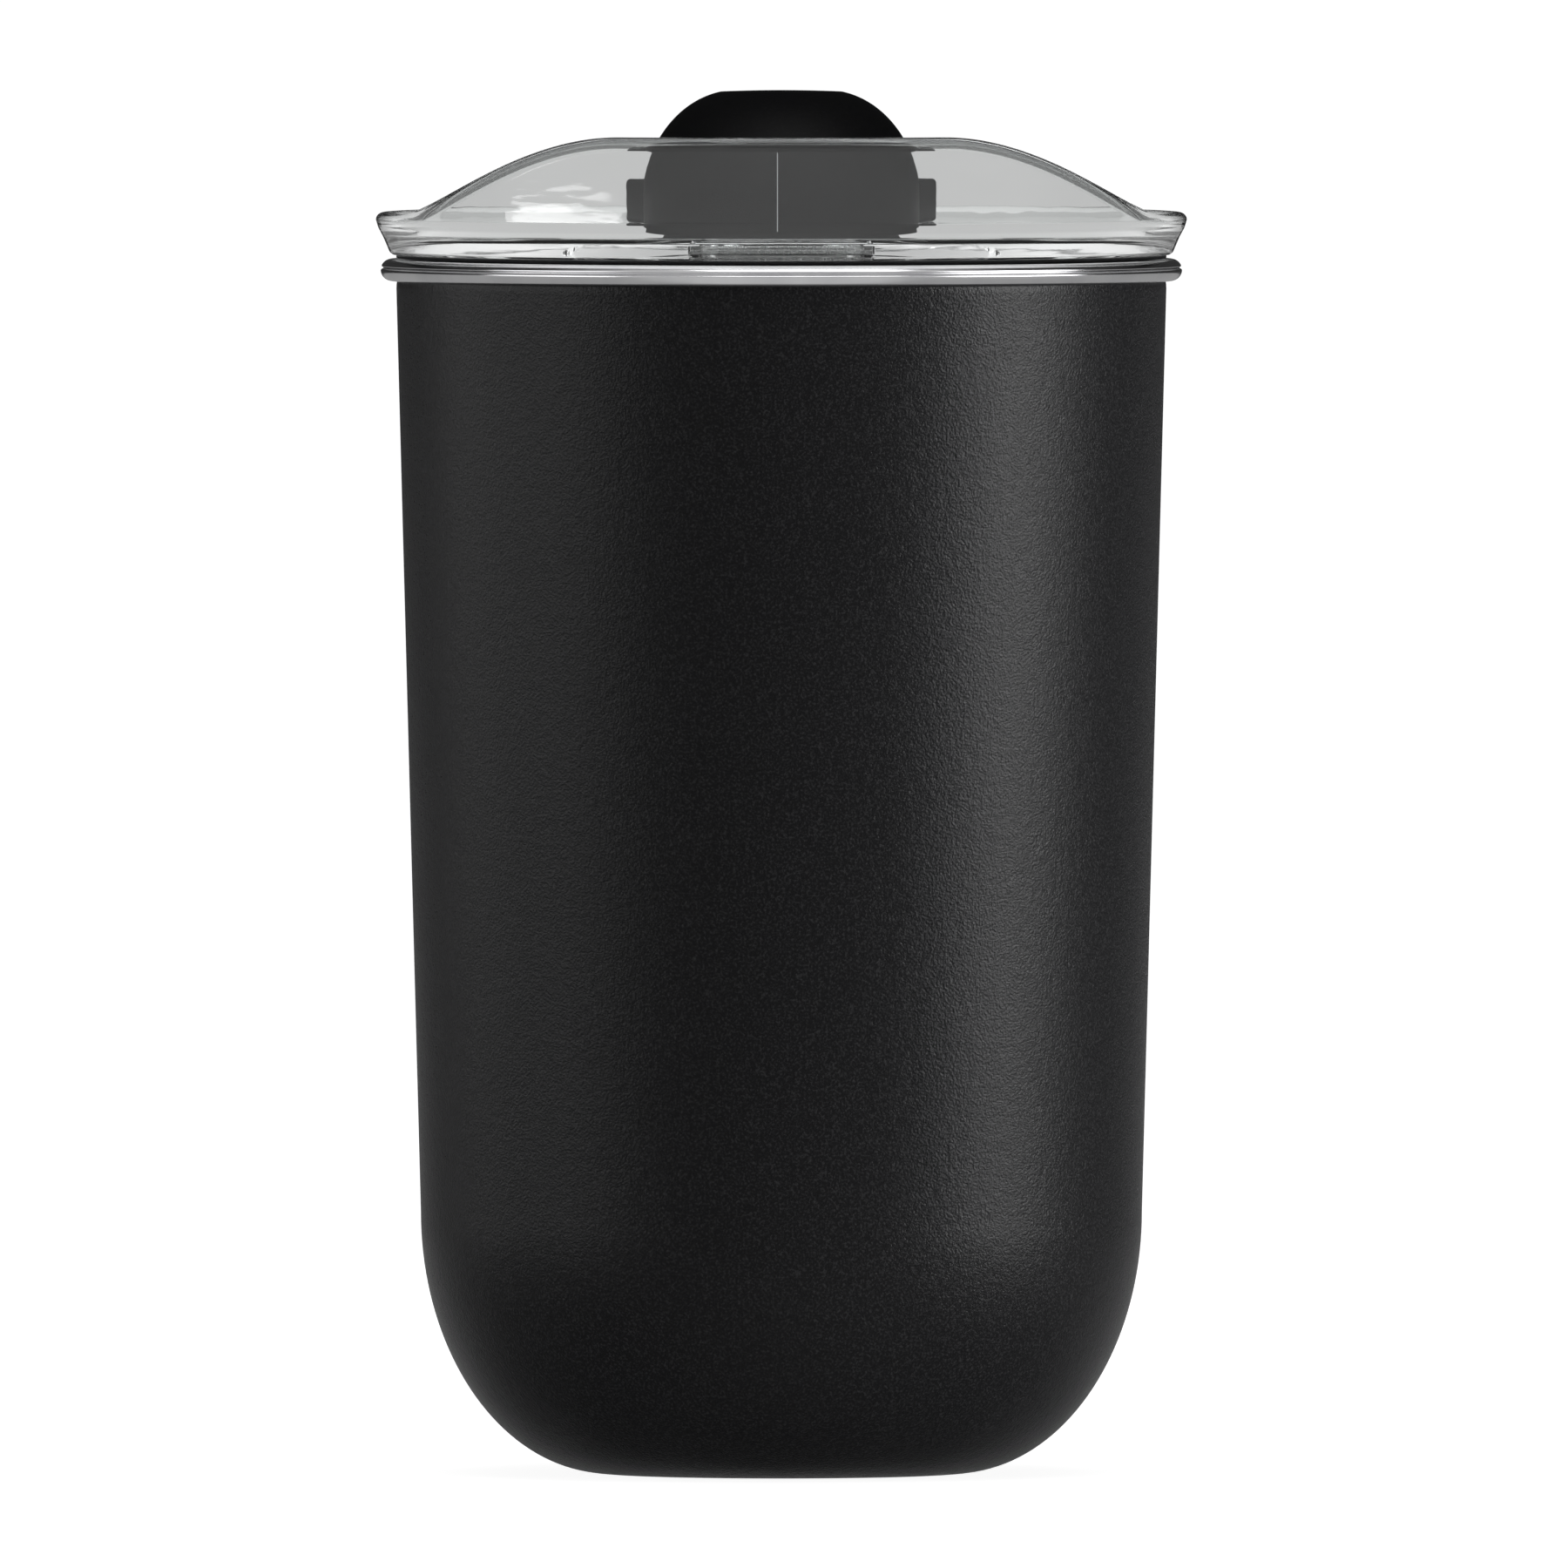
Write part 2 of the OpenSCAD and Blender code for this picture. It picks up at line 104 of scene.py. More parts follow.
def addPiece(name, bm, angle=sharpAngle):
    bmesh.ops.recalc_face_normals(bm, faces=bm.faces)
    mesh = bpy.data.meshes.new(name)
    bm.to_mesh(mesh)
    bm.free()
    piece = bpy.data.objects.new(name, mesh)
    bpy.context.scene.collection.objects.link(piece)
    return smooth(piece, angle)


def revolve(name, outline, turns=200):  # outline: closed (r, z) loop in mm, or a function of the angle
    bm = bmesh.new()
    rings = []
    for k in range(turns):
        angle = 2 * math.pi * k / turns
        points = outline(angle) if callable(outline) else outline
        along, across = mm * math.cos(angle), mm * math.sin(angle)
        rings.append([bm.verts.new((r * along, r * across, z * mm)) for r, z in points])
    onAxis = [abs(p[0]) < 1e-6 for p in points]
    count = len(points)
    for k in range(turns):
        one, two = rings[k], rings[(k + 1) % turns]
        for i in range(count):
            j = (i + 1) % count
            if not (onAxis[i] and onAxis[j]):
                bm.faces.new((one[i], two[i], two[j], one[j]))
    bmesh.ops.remove_doubles(bm, verts=bm.verts, dist=1e-7)
    bmesh.ops.dissolve_degenerate(bm, edges=bm.edges, dist=1e-8)
    return addPiece(name, bm)


def prism(name, outline, low, high):  # outline: closed (x, y) loop in mm
    bm = bmesh.new()
    floor = [bm.verts.new((x * mm, y * mm, low * mm)) for x, y in outline]
    roof = [bm.verts.new((x * mm, y * mm, high * mm)) for x, y in outline]
    bm.faces.new(floor)
    bm.faces.new(roof)
    for i in range(len(outline)):
        j = (i + 1) % len(outline)
        bm.faces.new((floor[i], floor[j], roof[j], roof[i]))
    return addPiece(name, bm)


def polar(r, degrees):
    return (r * math.cos(math.radians(degrees)), r * math.sin(math.radians(degrees)))


def sector(inR, outR, half, middle, corner=0.0, steps=12):  # flat ring sector with rounded corners
    spread = [middle - half + 2 * half * k / steps for k in range(steps + 1)]
    points = [polar(outR, a) for a in spread] + [polar(inR, a) for a in reversed(spread)]
    if corner <= 0:
        return points
    ends = (0, steps, steps + 1, 2 * steps + 1)
    return fillet([(*p, corner) if i in ends else p for i, p in enumerate(points)], 4)


def circle(x, y, r, steps=32):
    return [(x + r * math.cos(2 * math.pi * k / steps), y + r * math.sin(2 * math.pi * k / steps))
            for k in range(steps)]


def join(name, parts):  # several closed meshes as one
    bm = bmesh.new()
    for part in parts:
        bm.from_mesh(part.data)
        bpy.data.objects.remove(part)
    return addPiece(name, bm)


def applied(piece):  # its modifiers become its mesh
    view = bpy.context.evaluated_depsgraph_get()
    mesh = bpy.data.meshes.new_from_object(piece.evaluated_get(view))
    piece.modifiers.clear()
    piece.data = mesh
    return piece


def carve(piece, tool, operation="DIFFERENCE"):
    change = piece.modifiers.new("carve", "BOOLEAN")
    change.operation, change.object, change.solver = operation, tool, "EXACT"
    applied(piece)
    bpy.data.objects.remove(tool)
    return smooth(piece)


def bevelled(piece, width, segments):
    change = piece.modifiers.new("bevel", "BEVEL")
    change.width, change.segments, change.limit_method = width * mm, segments, "ANGLE"
    change.angle_limit = math.radians(bevelAngle)
    return smooth(applied(piece))


def settle(piece):  # face-weighted normals, so long flat faces beside small rounds stay flat
    change = piece.modifiers.new("settle", "WEIGHTED_NORMAL")
    change.keep_sharp, change.weight = True, 100
    applied(piece)


def fit(piece, body, slot, *nodes, finish=None):  # sets a piece in the place of its CAD nodes
    settle(piece)
    piece.data.materials.clear()
    piece.data.materials.append(finishes[finish or slot])
    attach(piece, body)
    if nodes:
        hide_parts(*nodes)


# ---- shader maths

class Wire:  # a socket that arithmetic can be written with
    def __init__(self, tree, socket=None):
        self.tree, self.socket = tree, socket

    def node(self, kind, settings=None, values=None, out=0):
        made = self.tree.nodes.new("ShaderNode" + kind)
        for key, value in (settings or {}).items():
            setattr(made, key, value)
        for key, value in (values or {}).items():
            if isinstance(value, Wire):
                self.tree.links.new(value.socket, made.inputs[key])
            else:
                made.inputs[key].default_value = value
        return Wire(self.tree, made.outputs[out])

    def maths(self, operation, a, b=0.0):
        return self.node("Math", {"operation": operation}, {0: a, 1: b})

    def __add__(self, other):
        return self.maths("ADD", self, other)

    def __radd__(self, other):
        return self.maths("ADD", other, self)

    def __sub__(self, other):
        return self.maths("SUBTRACT", self, other)

    def __rsub__(self, other):
        return self.maths("SUBTRACT", other, self)

    def __mul__(self, other):
        return self.maths("MULTIPLY", self, other)

    def __truediv__(self, other):
        return self.maths("DIVIDE", self, other)

    def clamp(self, low, high, toLow=0.0, toHigh=1.0):  # smooth step from low to high
        return self.node("MapRange", {"interpolation_type": "SMOOTHSTEP"},
                         {"Value": self, "From Min": low, "From Max": high, "To Min": toLow, "To Max": toHigh})

    def noise(self, where, scale, detail=2.0, roughness=0.5):
        return self.node("TexNoise", None,
                         {"Vector": where, "Scale": scale, "Detail": detail, "Roughness": roughness})

    def blend(self, mask, one, two):  # colour one where mask is 0, colour two where it is 1
        return self.node("Mix", {"data_type": "RGBA"}, {0: mask, 6: (*one, 1), 7: (*two, 1)}, 2)

    def stretch(self, where, x, y, z):
        return self.node("VectorMath", {"operation": "MULTIPLY"}, {0: where, 1: (x, y, z)})

    def axes(self, where):
        return [self.node("SeparateXYZ", None, {0: where}, k) for k in range(3)]

    def ray(self, kind):  # 1 for a ray of that kind, else 0
        return self.node("LightPath", None, None, {"camera": 0, "through": 6}[kind])

    def bump(self, height, distance, strength=1.0):
        return self.node("Bump", None, {"Height": height, "Distance": distance, "Strength": strength})


def material(name, constants, recipe):  # constants go on the shader's own sockets, recipe links the rest
    made = bpy.data.materials.new(name)
    made.use_nodes = True
    tree = made.node_tree
    shader = tree.nodes["Principled BSDF"]
    for key, value in constants.items():
        shader.inputs[key].default_value = value
    wire = Wire(tree)
    where = wire.node("TexCoord", None, None, 3)
    for key, value in recipe(wire, where).items():
        tree.links.new(value.socket, shader.inputs[key])
    return made


def ringCoordinates(wire, where):  # distance from the axis and height, for marks that run round a turned part
    x, y, z = wire.axes(where)
    return wire.maths("SQRT", x * x + y * y), z


def turningLines(wire, where, scale, *shape):  # fine lines that run round a turned part
    r, z = ringCoordinates(wire, where)
    return wire.noise(wire.node("CombineXYZ", None, {0: r, 1: z, 2: 0.0}), scale, *shape)


# ---- finishes

coat = {"dark": (0.0026, 0.0026, 0.0028), "light": (0.009, 0.009, 0.0094), "grain": 3600, "waver": 900,
        "pits": 8280, "depth": 0.00013, "rough": 0.3, "roughSpread": 0.12, "specular": 0.06}


def powderCoat(wire, where):
    grain = wire.noise(where, coat["grain"], 2.0, 0.6)
    waver = wire.noise(where, coat["waver"], 1.0)
    pits = wire.noise(where, coat["pits"], 1.0)
    height = grain * 0.65 + waver * 0.35
    return {"Base Color": wire.blend(grain.clamp(0.45, 0.75), coat["dark"], coat["light"]),
            "Roughness": coat["rough"] + (grain - 0.5) * coat["roughSpread"] + (pits - 0.5) * 0.05,
            "Normal": wire.bump(height, coat["depth"])}


polish = {"colour": (0.8, 0.8, 0.81), "dull": (0.7, 0.7, 0.715), "rough": 0.1, "lines": 9000, "smears": 160,
          "depth": 0.0000012}


def polishedSteel(wire, where):
    lines = turningLines(wire, where, polish["lines"], 2.0, 0.7)
    smear = wire.noise(where, polish["smears"], 3.0)
    return {"Base Color": wire.blend(smear.clamp(0.35, 0.75), polish["colour"], polish["dull"]),
            "Roughness": polish["rough"] + lines * 0.08 + smear * 0.05,
            "Normal": wire.bump(lines, polish["depth"], 0.6)}


brush = {"colour": (0.66, 0.66, 0.67), "dull": (0.52, 0.52, 0.53), "rough": 0.26, "lines": 5000, "spots": 300,
         "depth": 0.000004}


def brushedSteel(wire, where):
    lines = turningLines(wire, where, brush["lines"], 3.0, 0.7)
    spots = wire.noise(where, brush["spots"], 3.0)
    return {"Base Color": wire.blend(spots.clamp(0.4, 0.8), brush["colour"], brush["dull"]),
            "Roughness": brush["rough"] + lines * 0.14,
            "Normal": wire.bump(lines, brush["depth"], 0.8)}


clear = {"colour": (0.965, 0.975, 0.972), "tint": (0.93, 0.945, 0.94), "rough": 0.015, "flow": 90, "scuff": 1400,
         "depth": 0.00006}


def clearPlastic(wire, where):
    flow = wire.noise(wire.stretch(where, 1, 1, 3.2), clear["flow"], 2.0, 0.55)
    scuff = wire.noise(where, clear["scuff"], 3.0, 0.7)
    return {"Base Color": wire.blend(flow, clear["colour"], clear["tint"]),
            "Roughness": clear["rough"] + scuff.clamp(0.55, 0.9) * 0.05,
            "Normal": wire.bump(flow, clear["depth"], 0.25)}


mould = {"dark": (0.0045, 0.0045, 0.0049), "light": (0.0095, 0.0095, 0.01), "rough": 0.5, "grain": 3800,
         "cloud": 140, "depth": 0.000016}


def blackPlastic(wire, where):
    grain = wire.noise(where, mould["grain"], 2.0, 0.6)
    cloud = wire.noise(where, mould["cloud"], 2.0)
    return {"Base Color": wire.blend(grain.clamp(0.5, 0.8), mould["dark"], mould["light"]),
            "Roughness": mould["rough"] + (cloud - 0.5) * 0.12 + (grain - 0.5) * 0.1,
            "Normal": wire.bump(grain, mould["depth"], 0.7)}


rubber = {"dark": (0.012, 0.012, 0.013), "light": (0.026, 0.026, 0.028), "rough": 0.62, "grain": 1900,
          "dust": 420, "depth": 0.00002, "clearLow": (0.86, 0.87, 0.87), "clearHigh": (0.78, 0.79, 0.79),
          "clearRough": 0.16}


def siliconeRubber(wire, where):
    grain = wire.noise(where, rubber["grain"], 3.0, 0.6)
    dust = wire.noise(where, rubber["dust"], 4.0, 0.7)
    return {"Base Color": wire.blend(dust.clamp(0.5, 0.8), rubber["dark"], rubber["light"]),
            "Roughness": rubber["rough"] + (grain - 0.5) * 0.16,
            "Normal": wire.bump(grain, rubber["depth"], 0.7)}


def clearSilicone(wire, where):
    grain = wire.noise(where, rubber["grain"], 3.0, 0.6)
    return {"Base Color": wire.blend(grain, rubber["clearLow"], rubber["clearHigh"]),
            "Roughness": rubber["clearRough"] + grain * 0.2,
            "Normal": wire.bump(grain, rubber["depth"], 0.4)}


# the gap colour is painted shade: near-black where the openings between the wires are
weave = {"pitch": 0.00036, "wire": (0.6, 0.6, 0.61), "gap": (0.035, 0.035, 0.037), "depth": 0.00006}


def steelMesh(wire, where):
    x, y, z = wire.axes(where)
    step = 2 * math.pi / weave["pitch"]
    warp = wire.maths("SINE", (x + z) * step)
    weft = wire.maths("SINE", (y + z) * step)
    cross = wire.maths("SINE", (x + z) * (step / 2)) * wire.maths("SINE", (y + z) * (step / 2))
    wires = wire.maths("MAXIMUM", warp + cross * 0.4, weft - cross * 0.4)
    # the openings between the wires are painted near-black as painted shade; the wires keep their own steel colour
    return {"Base Color": wire.blend(wires.clamp(-0.35, 0.25), weave["gap"], weave["wire"]),
            "Metallic": wires.clamp(-0.4, 0.0),
            "Roughness": 0.62 - wires.clamp(-0.4, 0.9) * 0.3,
            "Normal": wire.bump(wires, weave["depth"], 0.9)}


drawn = {"bright": (0.68, 0.68, 0.69), "dull": (0.5, 0.5, 0.51), "marks": 2600, "rough": 0.2, "depth": 0.000006}


def drawnWire(wire, where):
    marks = wire.noise(where, drawn["marks"], 3.0, 0.7)
    return {"Base Color": wire.blend(marks.clamp(0.35, 0.75), drawn["bright"], drawn["dull"]),
            "Roughness": drawn["rough"] + marks * 0.16,
            "Normal": wire.bump(marks, drawn["depth"], 0.6)}


brass = {"bright": (0.72, 0.55, 0.26), "dull": (0.58, 0.42, 0.18), "lines": 4200, "rough": 0.24, "depth": 0.00001}


def turnedBrass(wire, where):
    lines = turningLines(wire, where, brass["lines"])
    return {"Base Color": wire.blend(lines, brass["bright"], brass["dull"]),
            "Roughness": brass["rough"] + lines * 0.14,
            "Normal": wire.bump(lines, brass["depth"], 0.7)}


sinter = {"dark": (0.26, 0.26, 0.255), "light": (0.42, 0.41, 0.39), "grain": 1500, "rough": 0.45, "depth": 0.00003}


def dullMetal(wire, where):
    grain = wire.noise(where, sinter["grain"], 4.0, 0.7)
    return {"Base Color": wire.blend(grain, sinter["dark"], sinter["light"]),
            "Roughness": sinter["rough"] + grain * 0.25,
            "Normal": wire.bump(grain, sinter["depth"], 0.8)}


frost = {"low": (0.75, 0.76, 0.76), "high": (0.9, 0.9, 0.9), "grain": 3000, "rough": 0.4}


def mouldMark(wire, where):  # the frosted line where the mould's halves met
    grain = wire.noise(where, frost["grain"])
    return {"Base Color": wire.blend(grain, frost["low"], frost["high"]), "Roughness": frost["rough"] + grain * 0.2}


finishes = {
    "mould_line": material("mould line", {"Transmission Weight": 0.3}, mouldMark),
    "powder_coat": material("powder coat", {"Specular IOR Level": coat["specular"]}, powderCoat),
    "polished_steel": material("polished steel", {"Metallic": 1.0}, polishedSteel),
    "brushed_steel": material("brushed steel", {"Metallic": 1.0}, brushedSteel),
    "clear_plastic": material("clear plastic", {"Transmission Weight": 1.0, "IOR": 1.49}, clearPlastic),
    "black_plastic": material("moulded black plastic", {"Specular IOR Level": 0.1}, blackPlastic),
    "silicone": material("silicone", {"Specular IOR Level": 0.3}, siliconeRubber),
    "clear_silicone": material("clear silicone", {"Transmission Weight": 0.85, "IOR": 1.41}, clearSilicone),
    "steel_mesh": material("woven steel mesh", {}, steelMesh),
    "spring_steel": material("drawn spring wire", {"Metallic": 1.0}, drawnWire),
    "brass": material("turned brass", {"Metallic": 1.0}, turnedBrass),
    "getter_metal": material("getter metal", {"Metallic": 1.0}, dullMetal),
    "solder": material("vent solder", {"Metallic": 1.0}, dullMetal),
}
print("finishes made:", len(finishes))

for part in frame["record"]["subparts"]:  # every CAD node gets its finish, shown or not
    node = frame["nodes"][part["node"]]
    node.data.materials.clear()
    node.data.materials.append(finishes[part["material_slot"]])


# ---- vessel

shell = {**place("outer_shell"), "lowR": 41.4, "cornerW": 21.4, "cornerH": 30.0, "wall": 0.7, "footW": 2.5,
         "hemDrop": 1.0}


def buildShell():
    foot, thick = shell["lowR"] - shell["cornerW"], shell["wall"]
    outer = arc((foot, shell["cornerH"]), shell["cornerW"], shell["cornerH"], -90, 0, 40)
    inner = arc((foot, shell["cornerH"]), shell["cornerW"] - thick, shell["cornerH"] - thick, 0, -90, 24)
    hem = [(shell["r"] - 0.03, shell["high"] - 0.5), (shell["r"] - 0.1, shell["high"] - 0.15),
           (shell["r"] - 0.3, shell["high"]), (shell["r"] - thick, shell["high"])]
    flange = [(foot - shell["footW"], thick), (foot - shell["footW"] - 0.25, 0.35), (foot - shell["footW"], 0.0)]
    side = [(shell["r"] - 0.01, shell["high"] - shell["hemDrop"])]
    piece = revolve("shellSkin", outer + side + hem + inner + flange, 256)
    fit(piece, "vessel", "powder_coat", "outer_shell")


rim = {**place("inner_vessel"), "mouthR": 41.4, "mouthDepth": 12.4, "boreR": 38.4, "shoulder": 3.0, "wall": 0.6,
       "bead": 1.25, "cornerW": 20.0, "cornerH": 24.0, "crease": 0.3, "creaseHeight": 0.24, "creaseSpread": 0.14,
       "neckDrop": 0.9}


def beadOutline():  # the rolled rim's round, with the shallow crease where the sheet folds over
    middle = (rim["r"] - rim["bead"], rim["high"] - rim["bead"])
    points = []
    for r, z in arc(middle, rim["bead"], rim["bead"], -100, 90, 90):
        near = (z - middle[1] - rim["creaseHeight"]) / rim["creaseSpread"]
        points.append((r - rim["crease"] * math.exp(-near * near), z))
    return points


def buildLiner():
    top, mouth = rim["high"], rim["mouthR"]
    mouthZ = top - rim["mouthDepth"]
    flat, low = rim["boreR"] - rim["cornerW"], rim["low"]
    cornerZ = low + rim["cornerH"]
    skin = shell["r"] - shell["wall"]
    outside = ([(0.0, low)] + arc((flat, cornerZ), rim["cornerW"] + rim["wall"], rim["cornerH"], -90, 0, 30)
               + fillet([(rim["boreR"] + rim["wall"], mouthZ - rim["shoulder"], 2.0),
                         (mouth + rim["wall"], mouthZ, 2.0), (mouth + rim["wall"], top - rim["neckDrop"], 0.2),
                         (skin, top - rim["neckDrop"], 0.1), (skin, shell["high"] + skinGap)]))
    inside = fillet([(mouth, top, 0.45), (mouth, mouthZ, 2.0), (rim["boreR"], mouthZ - rim["shoulder"], 2.0),
                     (rim["boreR"], cornerZ)])[:-1]
    bottom = arc((flat, cornerZ), rim["cornerW"], rim["cornerH"] - rim["wall"], 0, -90, 30)
    piece = revolve("linerAndRim", outside + beadOutline() + inside + bottom + [(0.0, low + rim["wall"])], 256)
    fit(piece, "vessel", "polished_steel", "inner_vessel")


disc = {**place("base_disc"), "thick": 0.7, "dimpleR": 4.0, "dimpleH": 1.2, "hole": 1.2}


def buildBaseDisc():
    low, thick = disc["low"], disc["thick"]
    roof, edge = low + disc["dimpleH"], disc["dimpleR"]
    outline = fillet([(disc["hole"], roof), (edge - 0.3, roof, 0.5), (edge, low, 0.4), (disc["r"], low, 0.15),
                      (disc["r"], low + thick, 0.15), (edge + thick, low + thick, 0.4),
                      (edge + thick - 0.3, roof + thick, 0.5), (disc["hole"], roof + thick)])
    fit(revolve("footDisc", outline, 128), "vessel", "brushed_steel", "base_disc")


buildShell()
buildLiner()
buildBaseDisc()
print("vessel built")


# ---- lid

lid = {**place("lid_body"), "trim": 0.01, "deck": 2.2, "floor": 1.1, "wall": 1.8, "flareH": 4.0, "flareOut": 1.95,
       "lowRim": 4.85, "highRim": 14.1, "crestHalf": 24.0, "crestEnd": 73.0, "plugR": 40.4, "plugIn": 38.8,
       "plugDepth": 12.4, "ledge": 0.5, "ledgeRise": 1.8, "dishR": 43.2, "cove": 0.4, "nose": 1.7, "hubIn": 16.2,
       "hubOut": 17.0, "hubRise": 1.4, "guideR": 5.0, "bossR": 6.2, "bossH": 10.0, "ribs": 6, "ribR": 8.8, "ribT": 2.0,
       "ribH": 7.0, "ribTurn": 6.0, "hookOut": 0.7, "hookT": 0.45, "hookHalf": 15.0, "slotR": 34.0, "slotW": 6.0,
       "slotHalf": 14.0, "slotCorner": 1.2, "ventR": 1.3, "ventAngle": 55.0, "seal": 1.0, "sealT": 0.5,
       "seamX": -0.45, "seamW": 0.1, "seamIn": 0.2, "seamRise": 1.2}
gasket = {**place("lid_gasket"), "flangeT": 0.4, "lips": 3, "lipR": 41.2, "sleeve": 0.5}
lid["flange"] = gasket["high"]
lid["r"] -= lid["trim"]  # clear of the box the CAD fills
lid["top"] = lid["flange"] + lid["deck"]


def rimHeight(angle):  # angle from the front, in degrees
    fall = ease((abs(angle) - lid["crestHalf"]) / (lid["crestEnd"] - lid["crestHalf"]))
    return lid["flange"] + lid["highRim"] - (lid["highRim"] - lid["lowRim"]) * fall


def lidOutline(turn):
    front = (math.degrees(turn) + 90 + 180) % 360 - 180
    top, base, floor = rimHeight(front), lid["flange"], lid["top"]
    under, plugZ = floor - lid["floor"], lid["flange"] - lid["plugDepth"]
    baseR, inR = lid["r"] - lid["flareOut"], lid["r"] - lid["wall"]
    ledgeZ, hubTop = plugZ + lid["ledgeRise"], floor + lid["hubRise"]
    out, rise, half = lid["flareOut"], lid["flareH"], lid["wall"] / 2
    tall = min(lid["nose"], top - base - rise - skinGap)
    nose = arc((lid["r"] - half, top - tall), half, tall, 0, 180, 20)
    return fillet([
        (lid["plugIn"], plugZ, 0.3), (lid["plugR"], plugZ, 0.6), (lid["plugR"], ledgeZ, 0.12),
        (lid["plugR"] + lid["ledge"], ledgeZ, 0.2), (lid["plugR"] + lid["ledge"], ledgeZ + 1, 0.12),
        (lid["plugR"], ledgeZ + 1, 0.12), (lid["plugR"], base, 0.2), (baseR, base, 0.3),
        (baseR + 0.2 * out, base + 0.08 * rise, 0.6), (baseR + 0.56 * out, base + 0.5 * rise, 3.0),
        (baseR + 0.87 * out, base + 0.78 * rise, 1.5), (lid["r"], base + rise, 2.0),
        *nose, (inR, floor + lid["cove"], 0.35),
        (lid["dishR"], floor, 0.5), (lid["hubOut"], floor, 0.12), (lid["hubOut"], hubTop, 0.12),
        (lid["hubIn"], hubTop, 0.12), (lid["hubIn"], floor, 0.12), (lid["guideR"], floor, 0.15),
        (lid["guideR"], under - lid["bossH"], 0.15), (lid["bossR"], under - lid["bossH"], 0.25),
        (lid["bossR"], under, 0.4), (lid["plugIn"], under, 0.8)], 6)


def slotPrism(margin, low, high):
    half = lid["slotHalf"] + math.degrees(margin / lid["slotR"])
    shape = sector(lid["slotR"] - lid["slotW"] / 2 - margin, lid["slotR"] + lid["slotW"] / 2 + margin,
                   half, -90, lid["slotCorner"] + margin)
    return prism("slotTool", shape, low, high)


def ribPrism(number):
    turn = math.radians(-90 + lid["ribTurn"] + number * 360 / lid["ribs"])
    along, across = Vector((math.cos(turn), math.sin(turn))), Vector((-math.sin(turn), math.cos(turn)))
    low, high = lid["top"] - lid["floor"] - lid["ribH"], lid["top"] - lid["floor"] / 2
    inner, outer, half = lid["bossR"] - 0.6, lid["ribR"], lid["ribT"] / 2
    corners = [along * r + across * s for r, s in ((inner, -half), (outer, -half), (outer, half), (inner, half))]
    return prism("ribTool", [tuple(c) for c in corners], low, high)


def buildLid():
    floor = lid["top"]
    piece = revolve("lidMoulding", lidOutline, 288)
    hubTop = floor + lid["hubRise"]
    hooks = [prism("hookTool", sector(lid["hubOut"] - 0.4, lid["hubOut"] + lid["hookOut"], lid["hookHalf"], turn),
                   hubTop - lid["hookT"], hubTop - 0.01) for turn in (30, 150, 270)]
    carve(piece, join("extras", hooks + [ribPrism(k) for k in range(lid["ribs"])]), "UNION")
    carve(piece, slotPrism(0, floor - 3, floor + 1))
    carve(piece, slotPrism(lid["seal"], floor - lid["sealT"], floor + 1))
    vent = prism("ventTool", circle(*polar(lid["slotR"], lid["ventAngle"]), lid["ventR"]), floor - 3, floor + 1)
    carve(piece, vent)
    fit(piece, "lid", "clear_plastic", "lid_body")
    left, right = lid["seamX"] - lid["seamW"] / 2, lid["seamX"] + lid["seamW"] / 2
    out, deep = -lid["r"], -lid["r"] + lid["seamIn"]
    seam = prism("mouldLine", [(left, deep), (left, out), (right, out), (right, deep)],
                 floor + lid["seamRise"], rimHeight(0) - lid["nose"])
    fit(seam, "lid", "clear_plastic", finish="mould_line")


def buildGasket():
    low, high, inner = gasket["low"], gasket["high"] - skinGap, lid["plugR"] + skinGap
    flange, lips, lipR, outer = high - gasket["flangeT"], gasket["lips"], gasket["lipR"], inner + gasket["sleeve"]
    corners = [(inner, low, 0.1), (outer, low, 0.15)]
    for k in range(lips):
        tip = low + (flange - low) * (k + 0.7) / lips
        corners += [(outer, tip - 1.0, 0.3), (lipR, tip, 0.1), (lipR, tip + 0.3, 0.1), (outer, tip + 0.3, 0.1)]
    corners += [(outer, flange, 0.1), (gasket["r"], flange, 0.15), (gasket["r"], high, 0.15), (inner, high, 0.1)]
    fit(revolve("lidSeal", fillet(corners, 4), 200), "lid", "silicone", "lid_gasket")


def buildSlotSeal():
    inner, outer, corner = lid["slotR"] - lid["slotW"] / 2, lid["slotR"] + lid["slotW"] / 2, lid["slotCorner"]
    half = lid["slotHalf"] + math.degrees(lid["seal"] / lid["slotR"])
    grow = lid["seal"] - skinGap
    shape = sector(inner - grow, outer + grow, half - 0.05, -90, corner + lid["seal"])
    piece = prism("drinkSlotSeal", shape, lid["top"] - lid["sealT"], lid["top"])
    carve(piece, slotPrism(0, lid["top"] - 3, lid["top"] + 1))
    fit(bevelled(piece, 0.12, 2), "lid", "clear_silicone", "slot_seal")


guide = {**place("rod_guide"), "lip": 1.2, "bore": 2.15, "sealR": 3.85, "sealZ": 134.0, "sealHalf": 0.85}


def buildGuide():
    low, high, r, bore = guide["low"], guide["high"], lid["guideR"] - skinGap, guide["bore"]
    lipZ, under, over = low + guide["lip"], guide["sealZ"] - guide["sealHalf"], guide["sealZ"] + guide["sealHalf"]
    outline = fillet([(bore, low, 0.25), (guide["r"], low, 0.3), (guide["r"], lipZ, 0.2), (r, lipZ, 0.1),
                      (r, high, 0.2), (bore, high, 0.3), (bore, over), (guide["sealR"], over),
                      (guide["sealR"], under), (bore, under)])
    fit(revolve("rodBush", outline, 96), "lid", "black_plastic", "rod_guide")


buildLid()
buildGasket()
buildSlotSeal()
buildGuide()
print("lid built")


# ---- shutter

shutter = {**place("shutter_disc"), "inR": 17.05, "edge": 0.22}
grip = {**place("shutter_grip"), "depth": 7.5, "outR": 39.5, "half": 27.5, "bevel": 0.8, "pegR": 1.4, "pegTurn": 16.0}


